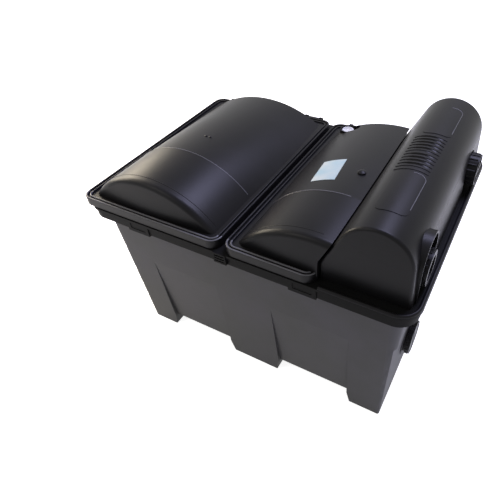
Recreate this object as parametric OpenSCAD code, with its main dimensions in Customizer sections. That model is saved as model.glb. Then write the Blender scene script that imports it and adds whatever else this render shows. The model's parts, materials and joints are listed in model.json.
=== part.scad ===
// Flow-through box filter for a garden pond: a tapered tub on three hollow feet, a black
// rim frame, two barrel-vaulted lids hinged at the rear, and a half-round inlet hood.
// X runs along the front to the right, Y to the rear and Z up, from the centre of the base.

/* [Tank] */
// Width of the rim frame
rim_w = 780; // [720:5:840]
// Depth of the rim frame
rim_d = 572; // [530:5:620]
// Corner radius of the rim frame
rim_r = 45; // [35:1:55]
// Height of the underside of the rim frame
band_z = 396; // [376:2:430]
// Height of the rim frame's outer band
band_h = 28; // [26:1:36]
// How far the rim frame stands out past the tub wall
rim_over = 26; // [22:1:30]
// How far each tub wall leans in from the rim frame down to the floor
draft = 20; // [14:1:30]
// Thickness of the tub wall
wall = 4; // [3:0.5:6]
// Corner radius of the tub at the floor
foot_r = 5; // [5:0.5:8]
// Height at which the side walls step in
step_z = 280; // [240:5:320]
// How far the side walls step in there
side_step = 5; // [2:0.5:8]

/* [Feet] */
// Height of the tunnels between the feet
foot_h = 38; // [25:1:50]
// Width of each corner foot
corner_foot_w = 84; // [70:1:95]
// Width of the middle foot
mid_foot_w = 146; // [110:2:170]
// How far the flank of a foot slants
foot_slant = 8; // [2:1:14]
// Height at which the wall panels leave the foot columns
panel_z = 265; // [200:5:275]
// How deep the wall panels lie behind the foot columns at the tunnels
panel_in = 10; // [5:0.5:14]

/* [Lids] */
// Middle of the bar between the two lids
split_x = -14; // [-30:1:0]
// Gap between the two lids
lid_gap = 12; // [6:1:20]
// How far the left lid stands out past the side of the rim frame
lid_over = 4; // [2:0.5:6]
// How far the front of the lids lies behind the front of the rim frame
lid_set = 2; // [0:0.5:4]
// Corner radius of the lid flange
lid_r = 25; // [20:1:34]
// Thickness of the lid skin
lid_t = 3; // [2.5:0.5:4]
// Height of the lid flange above the rim frame
flange_h = 17; // [16:0.5:20]
// Height of the bead round the lid flange
bead_h = 4; // [2:0.5:6]
// Width of the flange beside the vault
flange_w = 23; // [20:0.5:28]
// Rise of the vault above the lid flange
dome_rise = 80; // [70:1:95]
// Distance of the vault's front wall from the front of the lid
dome_front = 16; // [15:0.5:24]
// Distance of the vault's rear wall from the back of the lid
dome_back = 14; // [12:0.5:24]
// Distance of the bend across the vault from the front of the lid
crease_back = 165; // [140:5:240]
// Slope of the vault behind the bend, in degrees
dome_tilt = 5; // [3:0.25:7]
// Radius of the vault's rounded ends
dome_fillet = 12; // [8:1:18]

/* [Hinges] */
// Radius of a hinge pin
pin_r = 3; // [2.5:0.25:4]
// Radius of a lid knuckle
knuckle_r = 7; // [6:0.25:7.5]
// Width of a lid knuckle
knuckle_w = 34; // [24:1:44]
// Thickness of a hinge lug
lug_t = 8; // [6:0.5:12]
// Distance of each hinge from the side of its lid
hinge_in = 62; // [50:1:75]

/* [Hood] */
// Width of the hood at its base
hood_w = 172.5; // [165:0.5:180]
// Height of the hood above the rim frame
hood_h = 155; // [150:1:175]
// Distance of the hood from the side of the rim frame
hood_in = 19.5; // [17:0.5:23]
// Distance of the hood's ends from the front and the rear of the rim frame
hood_end = 29; // [26:0.5:31]
// Radius of the hood's crown
crown_r = 70; // [66:0.5:73]
// Lean of the hood's left flank, in degrees
left_lean = 27.5; // [24:0.5:30]
// Lean of the hood's right flank, in degrees
right_lean = 3; // [2:0.5:5]
// Thickness of the hood
hood_t = 3; // [2.5:0.5:4]
// Radius of the hood's end edges
hood_fillet = 6; // [4.5:0.5:8]
// Gap between the hood and the lid beside it
hood_gap = 3; // [2:0.5:6]
// Number of grip ribs across the hood
rib_count = 12; // [4:1:16]
// Distance between the ribs
rib_pitch = 12; // [9:0.5:14]
// Height of the ribs and the raised panels
relief_h = 0.9; // [0.6:0.1:2.5]
// Outer radius of the porch over the front inlet
porch_r = 48; // [46:0.5:52]
// Height of the middle of the porch's arch above the rim frame
porch_h = 72; // [68:1:76]
// How far the porch stands out past the hood
porch_out = 3.5; // [2:0.5:8]

/* [Inlets] */
// Distance of the front inlet from the hood's front end
inlet_y = 67; // [63:1:82]
// Distance of the rear inlet from the hood's rear end
inlet_rear_y = 105; // [77:1:117]
// Height of the inlets above the rim frame
inlet_h = 48; // [44:1:52]
// Outer radius of the inlet thread
inlet_r = 29.8; // [26:0.1:32]
// Wall of the inlet spigot
inlet_t = 5.8; // [4:0.1:8]
// Width of the inlet trough
trough_w = 100; // [90:1:101]
// Thickness of the trough wall
trough_t = 3; // [2.5:0.5:4]

/* [Outlet and drain] */
// Inner radius of the outlet pipe socket
outlet_r = 37.5; // [30:0.5:42]
// Wall of the outlet socket
outlet_t = 4; // [3:0.5:5]
// Height of the outlet
outlet_z = 300; // [250:5:310]
// Outer radius of the drain thread
drain_r = 29; // [25:0.5:32]
// Wall of the drain spigot
drain_t = 5; // [4:0.5:7]
// Height of the drain
drain_z = 150; // [140:5:170]
// Distance of the drain in front of the middle
drain_y = 100; // [60:5:130]
// Outer radius of the drain cap
drain_cap_r = 42; // [38:0.5:46]

/* [Inside] */
// Thickness of the partitions
part_t = 4; // [3:0.5:5]
// Height of the top of the foam grids
grid_z = 76; // [66:1:90]
// Thickness of the foam grids
grid_t = 6; // [4:0.5:8]
// Height of the foam blocks
foam_h = 300; // [240:5:310]
// Radius of the bow screen
screen_r = 395; // [380:5:410]
// Thickness of the bow screen
screen_t = 3; // [2:0.5:4]

/* [Hidden] */
$fn = 64;

// Colours
tub_grey = "#5c5c5e";
moulded_black = "#2b2b2d";
seal_black = "#1a1a1a";
foam_blue = "#2f62a8";
foam_red = "#a83a34";
steel = "#b8babd";
indicator_white = "#dcdcd8";

// Clearances
seat_gap = 0.3;
slide_gap = 0.5;
run_gap = 0.06;
part_gap = 1.5;
cut = 1;
skin = 0.1;

// Levels of the tub and the rim frame
band_top = band_z + band_h;
frame_t = 6;
skirt_t = 4;
band_step = 4;
tub_top = band_top - frame_t;
floor_z = foot_h + wall;
top_x = rim_w / 2 - rim_over;
top_y = rim_d / 2 - rim_over;

foot_x = top_x - draft;
wall_r = foot_r + draft;

// Half width and half depth of the tub at a height
function env_x(z) = foot_x + draft * z / band_z;
function env_y(z) = top_y - draft + draft * z / band_z;
function env_r(z) = foot_r + draft * z / band_z;
function low_x(z) = foot_x + (env_x(step_z) - side_step - foot_x) * z / step_z;
function side_x(z) = z > band_z ? top_x : z >= step_z ? env_x(z) : low_x(z);
function in_x(z) = side_x(z) - wall;
function low_in_y(z) = env_y(floor_z) - wall - panel_in
    + (env_y(step_z) - env_y(floor_z) + panel_in) * (z - floor_z) / (step_z - floor_z);
function in_y(z) = z > band_z ? top_y - wall : z >= step_z ? env_y(z) - wall : low_in_y(z);

// Feet
pocket_wall = 10;
pocket_floor = 5;
mid_half = mid_foot_w / 2;
tunnel_x0 = mid_half;
tunnel_x1 = foot_x - corner_foot_w;

// Hinges
lug_r = knuckle_r + 2;
knuckle_gap = 1;
back_reach = 2;
hinge_y = rim_d / 2 + back_reach - lug_r;
hinge_z = band_top + flange_h - knuckle_r;

// Lids
lid_front = lid_set - rim_d / 2;
lid_back = hinge_y - lug_r - 2;
left_x0 = -rim_w / 2 - lid_over;
left_x1 = split_x - lid_gap / 2;
right_x0 = split_x + lid_gap / 2;
right_x1 = rim_w / 2 - hood_in - hood_w - hood_gap;
left_w = left_x1 - left_x0;
left_mid = (left_x0 + left_x1) / 2;
right_mid = right_x0 + left_w / 2;
flange_z = band_top + flange_h;
lid_low = band_top + 2;
bead_w = 5;
bead_step = 9;
dome_half = left_w / 2 - flange_w;
dome_r = (pow(dome_half, 2) + pow(dome_rise, 2)) / (2 * dome_rise);
dome_z = flange_z + dome_rise - dome_r;
dome_y0 = lid_front + dome_front;
dome_y1 = lid_back - dome_back;
crease_y = lid_front + crease_back;
end_draft = 5;
back_draft = 14;
dome_flare = 13;
crease_step = 0.3;

// Cone of the rear vault: its slope, and its radius and height above the flange at the bend
cone_tilt = dome_flare + dome_tilt;
cone_rise = dome_rise - crease_step;
cone_run = cos(cone_tilt) + tan(dome_flare) * sin(cone_tilt);
cone_z = (pow(cone_rise * cone_run, 2) - pow(dome_half, 2)) / (2 * cone_rise * cone_run * cos(cone_tilt));
cone_r = (cone_rise - cone_z) * cone_run;

// Height of the vault's ridge at a place on Y
function ridge_z(y) = flange_z + dome_rise - max(0, y - crease_y) * tan(dome_tilt);

// Button on the right vault and pips on the left one
button_y = -25;
button_r = 9;
button_h = 6;
pip_y = -37;
pip_r = 3;
pip_h = 2;
pip_half = 6;
pip_side = 4;
button_side = 2;

// Ends of the vault along its two axes, at its full radius
back_run = dome_y1 - crease_y;
back_rise = dome_rise - back_run * tan(dome_tilt);
back_r = (pow(dome_half, 2) + pow(back_rise, 2)) / (2 * back_rise);
back_z = flange_z + dome_rise - back_r / cos(dome_tilt);
foot_rise = flange_z - back_z;
vault_front = dome_y0 - crease_y + dome_rise * tan(end_draft);
vault_back = back_run * cos(dome_tilt) - foot_rise * sin(dome_tilt)
    - (back_r - back_run * sin(dome_tilt) - foot_rise * cos(dome_tilt)) * tan(back_draft);

// Seals under the lids, behind the arms of the latches
arm_t = 3;
latch_travel = 4;
arm_y = lid_front + lid_t + part_gap;
seal_w = 5;
seal_in = 1;
seal_front = arm_y + arm_t + latch_travel + 2;
seal_side = seal_front - lid_front;

// Hood
hood_x1 = rim_w / 2 - hood_in;
hood_x0 = hood_x1 - hood_w;
hood_y = rim_d / 2 - hood_end;
hood_top = band_top + hood_h;
crown_z = hood_top - crown_r;
crown_x = hood_x1 - (crown_r + (crown_z - band_top) * sin(right_lean)) / cos(right_lean);
hood_base = band_top + seat_gap;
panel_arc = 25;
panel_r = 14;
rib_arc = 28;
rib_turn = 5;
rib_w = 5;
panel_end = 55;
porch_t = 4;
porch_z = band_top + porch_h;
porch_x = hood_x1 + porch_out;

// Place on X of a plane at a distance from the hood's left flank, and the height at which it passes a place
function lean_x(z, gap) = crown_x - (crown_r + gap - (z - crown_z) * sin(left_lean)) / cos(left_lean);
function lean_z(x, gap) = crown_z + (crown_r + gap - (crown_x - x) * cos(left_lean)) / sin(left_lean);

// Windows in the rim frame, inside the lip that enters the tub
frame_lip = 4;
seal_land = 2;
window_x = top_x - 2 * wall - frame_lip;
window_y = top_y - 2 * wall - frame_lip;
window_r = 2;
bar_half = lid_gap / 2 + lid_t + seal_in + seal_w + seal_land;
right_window_x1 = right_x1 - lid_t - seal_w - seal_land;
coaming_t = 3;
coaming_h = 10;
bay_x0 = hood_x0 + hood_t + 10;
bay_x1 = window_x + coaming_t;

// Latches
latch_w = 40;
latch_pad = 10;
latch_z0 = band_z + 5;
latch_z1 = tub_top - 3;
latch_left_x = left_mid - 29;
latch_right_x = right_x1 - 24;
skirt_y = rim_d / 2 - band_step;
latch_t = 5;
arm_w = 16;
arm_left_x = latch_left_x;
arm_right_x = right_x1 - lid_r - arm_w / 2 - 2;

// Inlet trough and its fittings
inlet_z = band_top + inlet_h;
front_inlet = inlet_y - hood_y;
rear_inlet = hood_y - inlet_rear_y;
trough_x1 = hood_x1 - 26;
trough_x0 = trough_x1 - trough_w;
trough_y = window_y - 12;
trough_z0 = band_top - 17;
trough_z1 = inlet_z + 42;
weir_z = inlet_z + 2;
gasket_t = 2;
locknut_t = 10;
inlet_flange_r = inlet_r + 8;
inlet_nut_r = 36;
inlet_end = trough_x1 + 30;
inlet_nut_x0 = trough_x1 + gasket_t + locknut_t + 2;
union_end = porch_x + 6;
cap_end = porch_x + 14;

// Outlet
outlet_face = env_x(outlet_z) + 8;
outlet_back = in_x(outlet_z) - 8;
outlet_or = outlet_r + outlet_t;
outlet_boss_r = outlet_or + 16;
bulk_flange_t = 5;
bulk_nut_t = 14;
outlet_inner = bulk_nut_t + 8 - outlet_back;

// Drain
drain_face = low_x(drain_z) + 2;
drain_back = low_x(drain_z) - wall - 8;
drain_boss_r = drain_r + 19;
drain_flange_t = 3;
drain_end = drain_face + gasket_t + drain_flange_t + 6;

// Partitions and foams
mid_x = split_x;
inlet_part_x = hood_x0 - 2;
shoulder_z = band_z + 4;
foam_gap = 4;
foams_left = 4;
foams_right = 3;
foam_z = grid_z + seat_gap;
foam_y = low_in_y(foam_z) - 8;
left_foam_x0 = max(10 - in_x(foam_z), outlet_inner + foam_gap);
left_foam_x1 = mid_x - part_t / 2 - foam_gap;
right_foam_x0 = mid_x + part_t / 2 + foam_gap;
right_foam_x1 = inlet_part_x - part_t / 2 - foam_gap;

// Bow screen
screen_x = hood_x0 + 6.5 + screen_r;
screen_z = band_z - 12;
screen_z0 = foot_h + 57;
screen_z1 = band_z + 8;
screen_y = low_in_y(floor_z) - 8;
screen_a0 = asin((screen_z - screen_z0) / screen_r);
screen_a1 = asin((screen_z1 - screen_z) / screen_r);
screen_rows = 22;

// Indicator in the right lid
indicator_x = right_x0 + 53;
indicator_y = lid_back - 43;
indicator_z = flange_z + 12;
indicator_r = 15;
indicator_long = 16;

// Flat shape: a rectangle with round corners
module round_rect(x0, x1, y0, y1, r) {
    translate([x0 + r, y0]) square([x1 - x0 - 2 * r, y1 - y0]);
    translate([x0, y0 + r]) square([x1 - x0, y1 - y0 - 2 * r]);
    for (x = [x0 + r, x1 - r], y = [y0 + r, y1 - r]) translate([x, y]) circle(r);
}

// Flat shape: a ring of even width inside a rounded rectangle
module round_ring(x0, x1, y0, y1, r, w) {
    difference() {
        round_rect(x0, x1, y0, y1, r);
        round_rect(x0 + w, x1 - w, y0 + w, y1 - w, max(r - w, 0.5));
    }
}

module slab(z0, z1) {
    translate([0, 0, z0]) linear_extrude(z1 - z0) children();
}

// Box from its lowest to its highest corner
module span(a, b) {
    translate(a) cube(b - a);
}

// Cylinder along X
module rod_x(x0, x1, y, z, r) {
    translate([x0, y, z]) rotate([0, 90, 0]) cylinder(h = x1 - x0, r = r);
}

module tube_x(x0, x1, y, z, r, bore) {
    difference() {
        rod_x(x0, x1, y, z, r);
        rod_x(x0 - cut, x1 + cut, y, z, bore);
    }
}

// Hexagon nut along X
module nut_x(x0, x1, y, z, across, bore) {
    difference() {
        translate([x0, y, z]) rotate([0, 90, 0]) rotate([0, 0, 30])
            cylinder(h = x1 - x0, d = across / cos(30), $fn = 6);
        rod_x(x0 - cut, x1 + cut, y, z, bore);
    }
}

// Outline in the Y-Z plane, drawn with Y and Z, given a thickness along X
module plate_x(x0, x1) {
    translate([x0, 0, 0]) rotate([90, 0, 90]) linear_extrude(x1 - x0) children();
}

// Outline in the X-Z plane, drawn with X and Z, given a length along Y
module plate_y(y0, y1) {
    translate([0, y1, 0]) rotate([90, 0, 0]) linear_extrude(y1 - y0) children();
}

// Outline that is wider at its top level
function trapeze(half0, z0, half1, z1) = [[-half0, z0], [half0, z0], [half1, z1], [-half1, z1]];

// Block inside the tub's leaning walls, with a cone at each corner
module leaning_block(z0, z1, inset) {
    cx = foot_x - foot_r;
    cy = env_y(0) - foot_r;
    plate_y(-cy, cy) polygon(trapeze(env_x(z0) - inset, z0, env_x(z1) - inset, z1));
    plate_x(-cx, cx) polygon(trapeze(env_y(z0) - inset, z0, env_y(z1) - inset, z1));
    for (x = [-cx, cx], y = [-cy, cy])
        translate([x, y, z0]) cylinder(h = z1 - z0, r1 = env_r(z0) - inset, r2 = env_r(z1) - inset);
}

// Wedge that sets the lower part of a side wall back below its step
module side_recess() {
    plate_y(-rim_d / 2, rim_d / 2)
        polygon([[low_x(0), 0], [rim_w / 2, 0], [rim_w / 2, step_z], [low_x(step_z), step_z]]);
}

// Hollow of the tub below the step, whose walls follow the recessed panels
module low_hollow() {
    intersection() {
        plate_y(-rim_d / 2, rim_d / 2)
            polygon(trapeze(in_x(floor_z), floor_z, low_x(step_z) - wall, step_z));
        plate_x(-rim_w / 2, rim_w / 2)
            polygon(trapeze(low_in_y(floor_z), floor_z, low_in_y(step_z), step_z));
    }
}

module tub_inside() {
    low_hollow();
    leaning_block(step_z, band_z, wall);
    slab(band_z, tub_top + cut)
        round_rect(wall - top_x, top_x - wall, wall - top_y, top_y - wall, wall_r - wall);
}

// Tunnel between two feet, from front to rear
module foot_tunnel() {
    reach = rim_d / 2;
    plate_y(-reach, reach) polygon([
        [tunnel_x0 - foot_slant, -cut], [tunnel_x1 + foot_slant, -cut],
        [tunnel_x1, foot_h], [tunnel_x0, foot_h]
    ]);
}

// Wall panel that falls back between two foot columns
module panel_recess() {
    foot_y = panel_in - env_y(foot_h);
    lean = (env_y(panel_z) + foot_y) / (panel_z - foot_h);
    over = 60;
    plate_x(tunnel_x0, tunnel_x1) polygon([
        [-env_y(panel_z) - over * lean, panel_z + over], [-rim_d / 2, panel_z + over],
        [-rim_d / 2, -cut], [foot_y, -cut], [foot_y, foot_h]
    ]);
}

module foot_pockets() {
    half = foot_x;
    deep = low_in_y(floor_z) - pocket_wall;
    for (r = [
        [pocket_wall - half, -tunnel_x1 - pocket_wall],
        [pocket_wall - mid_half, mid_half - pocket_wall],
        [tunnel_x1 + pocket_wall, half - pocket_wall]
    ]) span([r[0], -deep, pocket_floor], [r[1], deep, floor_z + cut]);
}

module tank_tub() {
    color(tub_grey) difference() {
        union() {
            difference() {
                union() {
                    leaning_block(0, band_z, 0);
                    slab(band_z, tub_top) round_rect(-top_x, top_x, -top_y, top_y, wall_r);
                }
                tub_inside();
                foot_pockets();
                for (m = [0, 1]) mirror([m, 0, 0]) side_recess();
                for (m = [0, 1], n = [0, 1]) mirror([m, 0, 0]) mirror([0, n, 0]) panel_recess();
                for (m = [0, 1]) mirror([m, 0, 0]) foot_tunnel();
            }
            rod_x(-outlet_face, -outlet_back, 0, outlet_z, outlet_boss_r);
            rod_x(drain_back, drain_face, -drain_y, drain_z, drain_boss_r);
        }
        rod_x(-outlet_face - cut, cut - outlet_back, 0, outlet_z, outlet_or + slide_gap);
        rod_x(drain_back - cut, drain_face + cut, -drain_y, drain_z, drain_r + slide_gap);
    }
}

// Window in the rim frame between two places on X
module frame_window(x0, x1) {
    slab(band_z - cut, band_top + cut) round_rect(x0, x1, -window_y, window_y, window_r);
}

// Pair of lugs that hold a hinge pin
module hinge_lugs(x) {
    for (s = [-1, 1]) {
        inner = x + s * (knuckle_w / 2 + knuckle_gap);
        low = min(inner, inner + s * lug_t);
        difference() {
            union() {
                rod_x(low, low + lug_t, hinge_y, hinge_z, lug_r);
                span([low, hinge_y - lug_r, tub_top], [low + lug_t, hinge_y + lug_r, hinge_z]);
            }
            rod_x(low - cut, low + lug_t + cut, hinge_y, hinge_z, pin_r);
        }
    }
}

function hinge_places(x0, x1) = [x0 + hinge_in, x1 - hinge_in];

// Raised surround of a latch on the front of the band
module latch_surround(x) {
    span([x - latch_w / 2 - latch_pad, -skirt_y - 2, band_z - 4],
        [x + latch_w / 2 + latch_pad, skirt_t - skirt_y, tub_top + skin]);
}

module latch_window(x, arm_x) {
    half = latch_w / 2 + slide_gap;
    span([x - half, -rim_d / 2 - cut, latch_z0 - slide_gap],
        [x + half, skirt_t - skirt_y + cut, latch_z1 + slide_gap]);
    span([arm_x - arm_w / 2 - slide_gap, arm_y - slide_gap, latch_z1],
        [arm_x + arm_w / 2 + slide_gap, arm_y + arm_t + latch_travel + slide_gap, band_top + cut]);
}

// Slotted block on the band between the two lids
module vent_block() {
    half = 15;
    slots = 3;
    pitch = 7;
    front = -rim_d / 2 - back_reach;
    difference() {
        span([split_x - half, front, band_z + 2], [split_x + half, skirt_t - skirt_y, band_top]);
        for (i = [0 : slots - 1])
            span([split_x - half + 3, front - cut, band_z + 6 + i * pitch],
                [split_x + half - 3, 1 - rim_d / 2, band_z + 9.5 + i * pitch]);
    }
}

module top_frame() {
    hx = rim_w / 2;
    hy = rim_d / 2;
    sx = hx - band_step;
    color(moulded_black) {
        difference() {
            union() {
                slab(tub_top, band_top) round_rect(-hx, hx, -hy, hy, rim_r);
                slab(band_z, tub_top + skin)
                    round_ring(-sx, sx, -skirt_y, skirt_y, rim_r - band_step, skirt_t);
                slab(shoulder_z + 2, tub_top + skin)
                    round_ring(2 * wall - top_x, top_x - 2 * wall, 2 * wall - top_y, top_y - 2 * wall,
                        wall_r - 2 * wall, frame_lip + cut);
                slab(band_top - skin, band_top + coaming_h)
                    round_ring(bay_x0, bay_x1, -window_y - coaming_t, window_y + coaming_t,
                        window_r + coaming_t, coaming_t);
                for (x = [latch_left_x, latch_right_x]) latch_surround(x);
                vent_block();
            }
            frame_window(-window_x, split_x - bar_half);
            frame_window(split_x + bar_half, right_window_x1);
            frame_window(bay_x0 + coaming_t, bay_x1 - coaming_t);
            latch_window(latch_left_x, arm_left_x);
            latch_window(latch_right_x, arm_right_x);
        }
        for (x = hinge_places(left_x0, left_x1)) hinge_lugs(x);
        for (x = hinge_places(right_x0, right_x1)) hinge_lugs(x);
    }
}

// Upright partition that fills the tub's section, with its shoulders under the frame's lip
module partition(x) {
    top = tub_top - 4;
    neck = top_y - 3 * wall - frame_lip;
    right = [
        [in_y(floor_z) - part_gap, floor_z], [in_y(step_z) - part_gap, step_z],
        [in_y(band_z) - part_gap, shoulder_z], [neck - part_gap, shoulder_z], [neck - part_gap, top]
    ];
    left = [for (i = [len(right) - 1 : -1 : 0]) [-right[i][0], right[i][1]]];
    plate_x(x - part_t / 2, x + part_t / 2) polygon(concat(right, left));
}

// Row of upright flow slots through a partition
module flow_slots(x, z0, z1) {
    count = 9;
    pitch = 44;
    slot_r = 9;
    for (i = [0 : count - 1]) {
        y = (i - (count - 1) / 2) * pitch;
        span([x - part_t, y - slot_r, z0], [x + part_t, y + slot_r, z1]);
        for (z = [z0, z1]) rod_x(x - part_t, x + part_t, y, z, slot_r);
    }
}

module partition_mid() {
    color(moulded_black) difference() {
        partition(mid_x);
        flow_slots(mid_x, floor_z + 20, grid_z + 40);
    }
}

module partition_inlet() {
    color(moulded_black) difference() {
        partition(inlet_part_x);
        flow_slots(inlet_part_x, floor_z + 20, grid_z + 40);
    }
}

// Slatted grid on legs that carries the foam blocks
module foam_grid(x0, x1, legs) {
    slats = 9;
    border = 14;
    gap_w = 12;
    half_y = low_in_y(grid_z - grid_t) - 4;
    rows = [-1, 0, 1];
    row_len = (2 * half_y - 4 * border) / len(rows);
    step = (x1 - x0 - 2 * border) / slats;
    color(moulded_black) {
        difference() {
            span([x0, -half_y, grid_z - grid_t], [x1, half_y, grid_z]);
            for (i = [0 : slats - 1], j = rows)
                translate([x0 + border + (i + 0.5) * step, j * (row_len + border), grid_z - grid_t / 2])
                    cube([gap_w, row_len, grid_t + 2 * cut], center = true);
        }
        for (x = legs, s = [-1, 1])
            translate([x, s * half_y / 2, floor_z]) cylinder(h = grid_z - grid_t - floor_z + skin, r = 7);
    }
}

module foam_grid_left() {
    foam_grid(left_foam_x0 - 4, left_foam_x1 + 2, [-tunnel_x1 + 16, -tunnel_x0 - 20]);
}

module foam_grid_right() {
    foam_grid(right_foam_x0 - 2, right_foam_x1 + 2, [tunnel_x0 + 14, right_foam_x1 - 18]);
}

// One of a row of upright foam blocks with rounded corners
module foam_block(x0, x1, count, i, tone) {
    pitch = (x1 - x0 + foam_gap) / count;
    low = x0 + i * pitch;
    color(tone) slab(foam_z, foam_z + foam_h)
        round_rect(low, low + pitch - foam_gap, -foam_y, foam_y, 6);
}

module foam_left(i) {
    foam_block(left_foam_x0, left_foam_x1, foams_left, i, i % 2 == 0 ? foam_blue : foam_red);
}

module foam_right(i) {
    foam_block(right_foam_x0, right_foam_x1, foams_right, i, i % 2 == 0 ? foam_red : foam_blue);
}

// Curved sieve that sheds solids towards the drain, between two cheeks that stand on the floor
module bow_screen() {
    slot_h = 5;
    bays = 3;
    border = 14;
    cheek_t = 3;
    bay_w = (2 * screen_y - (bays + 1) * border) / bays;
    sweep = screen_a0 + screen_a1;
    color(steel) {
        difference() {
            translate([screen_x, 0, screen_z]) rotate([90, 0, 0])
                rotate([0, 0, 180 - screen_a1]) rotate_extrude(angle = sweep, $fn = 180)
                    translate([screen_r, -screen_y]) square([screen_t, 2 * screen_y]);
            for (i = [1 : screen_rows], j = [0 : bays - 1])
                translate([screen_x, -screen_y + border + j * (bay_w + border), screen_z])
                    rotate([0, screen_a1 - i * sweep / (screen_rows + 1), 0])
                        translate([-screen_r - 2 * screen_t, 0, -slot_h / 2])
                            cube([4 * screen_t, bay_w, slot_h]);
        }
        for (y = [-screen_y - cheek_t + cut, screen_y - cut]) difference() {
            plate_y(y, y + cheek_t) polygon([
                [hood_x0 + 8, floor_z], [tunnel_x1 - 4, floor_z],
                [screen_x - screen_r * cos(screen_a0), screen_z0 + 8], [hood_x0 + 8, screen_z1]
            ]);
            translate([screen_x, y - cut, screen_z]) rotate([-90, 0, 0])
                cylinder(h = cheek_t + 2 * cut, r = screen_r + screen_t / 2, $fn = 180);
        }
    }
}

// Outline of the trough's ends: low at the weir, sloped along the hood's flank
module trough_outline() {
    weir_run = (trough_z1 - weir_z) * tan(left_lean);
    polygon([
        [trough_x0, trough_z0], [trough_x1, trough_z0], [trough_x1, trough_z1],
        [trough_x0 + weir_run, trough_z1], [trough_x0, weir_z]
    ]);
}

// Floor of the trough, between its walls
module inlet_trough() {
    half = trough_y - trough_t - seat_gap;
    color(moulded_black) span(
        [trough_x0 + trough_t + seat_gap, -half, trough_z0],
        [trough_x1 - trough_t - seat_gap, half, trough_z0 + trough_t]
    );
}

// Wall that the water spills over
module trough_weir() {
    half = trough_y - trough_t - seat_gap;
    color(moulded_black) span([trough_x0, -half, trough_z0], [trough_x0 + trough_t, half, weir_z]);
}

// Wall that the two inlet spigots pass
module trough_port_wall() {
    half = trough_y - trough_t - seat_gap;
    color(moulded_black) difference() {
        span([trough_x1 - trough_t, -half, trough_z0], [trough_x1, half, trough_z1]);
        for (y = [front_inlet, rear_inlet])
            rod_x(trough_x1 - 2 * trough_t, trough_x1 + cut, y, inlet_z, inlet_r + slide_gap);
    }
}

// End plate of the trough with the lug that hangs on the coaming
module trough_end() {
    lug_w = 60;
    lug_x = (trough_x0 + trough_x1) / 2;
    lug_z = band_top + coaming_h;
    color(moulded_black) {
        plate_y(trough_y - trough_t, trough_y) trough_outline();
        span([lug_x - lug_w / 2, trough_y - skin, lug_z], [lug_x + lug_w / 2, window_y + coaming_t, lug_z + 5]);
    }
}

module trough_end_front() {
    mirror([0, 1, 0]) trough_end();
}

module trough_end_rear() {
    trough_end();
}

// Threaded spigot through the trough wall, with its flange on the inside
module inlet_spigot(y) {
    bore = inlet_r - inlet_t;
    back = trough_x1 - trough_t - 4;
    color(moulded_black) difference() {
        union() {
            rod_x(back, inlet_end, y, inlet_z, inlet_r);
            rod_x(back, trough_x1 - trough_t, y, inlet_z, inlet_flange_r);
        }
        rod_x(back - cut, inlet_end + cut, y, inlet_z, bore);
    }
}

module inlet_gasket(y) {
    color(seal_black) tube_x(trough_x1, trough_x1 + gasket_t, y, inlet_z, inlet_flange_r, inlet_r + seat_gap);
}

module inlet_locknut(y) {
    x0 = trough_x1 + gasket_t;
    color(moulded_black) nut_x(x0, x0 + locknut_t, y, inlet_z, 2 * inlet_flange_r - 6, inlet_r + seat_gap);
}

// Ring of grip ribs round a turned cap or nut
module grip_ribs(x0, x1, y, z, r, count) {
    for (i = [0 : count - 1])
        rod_x(x0, x1, y + r * cos(i * 360 / count), z + r * sin(i * 360 / count), 2.5);
}

module inlet_union_nut() {
    lip = 4;
    y = front_inlet;
    color(moulded_black) difference() {
        union() {
            rod_x(inlet_nut_x0, union_end, y, inlet_z, inlet_nut_r - 2);
            grip_ribs(inlet_nut_x0, union_end - 4, y, inlet_z, inlet_nut_r - 2.5, 16);
        }
        rod_x(inlet_nut_x0 - cut, union_end - lip, y, inlet_z, inlet_r + seat_gap);
        rod_x(union_end - lip - cut, union_end + cut, y, inlet_z, inlet_r - inlet_t);
    }
}

module inlet_blank_cap() {
    face_t = 5;
    bar = 8;
    y = rear_inlet;
    color(moulded_black) {
        difference() {
            union() {
                rod_x(inlet_nut_x0, cap_end, y, inlet_z, inlet_nut_r - 2);
                grip_ribs(inlet_nut_x0, cap_end - 4, y, inlet_z, inlet_nut_r - 2.5, 16);
            }
            rod_x(inlet_nut_x0 - cut, inlet_end + 1, y, inlet_z, inlet_r + seat_gap);
            rod_x(inlet_end + 1 + face_t, cap_end + cut, y, inlet_z, inlet_r);
        }
        span([inlet_end + 1, y - inlet_r - 1, inlet_z - bar / 2], [cap_end, y + inlet_r + 1, inlet_z + bar / 2]);
    }
}

module outlet_socket() {
    x0 = left_x0;
    seat = -outlet_face - gasket_t;
    color(moulded_black) difference() {
        union() {
            rod_x(x0, outlet_inner, 0, outlet_z, outlet_or);
            rod_x(seat - bulk_flange_t, seat, 0, outlet_z, outlet_boss_r - 2);
            rod_x(x0, x0 + 4, 0, outlet_z, outlet_or + 2);
        }
        rod_x(x0 - cut, outlet_inner + cut, 0, outlet_z, outlet_r);
    }
}

module outlet_seal() {
    color(seal_black)
        tube_x(-outlet_face - gasket_t, -outlet_face, 0, outlet_z, outlet_boss_r - 4, outlet_or + seat_gap);
}

module outlet_locknut() {
    color(moulded_black)
        nut_x(-outlet_back, bulk_nut_t - outlet_back, 0, outlet_z, 2 * outlet_boss_r - 10, outlet_or + seat_gap);
}

module drain_spigot() {
    seat = drain_face + gasket_t;
    x0 = drain_back - bulk_nut_t - 2;
    color(moulded_black) difference() {
        union() {
            rod_x(x0, drain_end, -drain_y, drain_z, drain_r);
            rod_x(seat, seat + drain_flange_t, -drain_y, drain_z, drain_cap_r - 3);
        }
        rod_x(x0 - cut, drain_end + cut, -drain_y, drain_z, drain_r - drain_t);
    }
}

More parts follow.
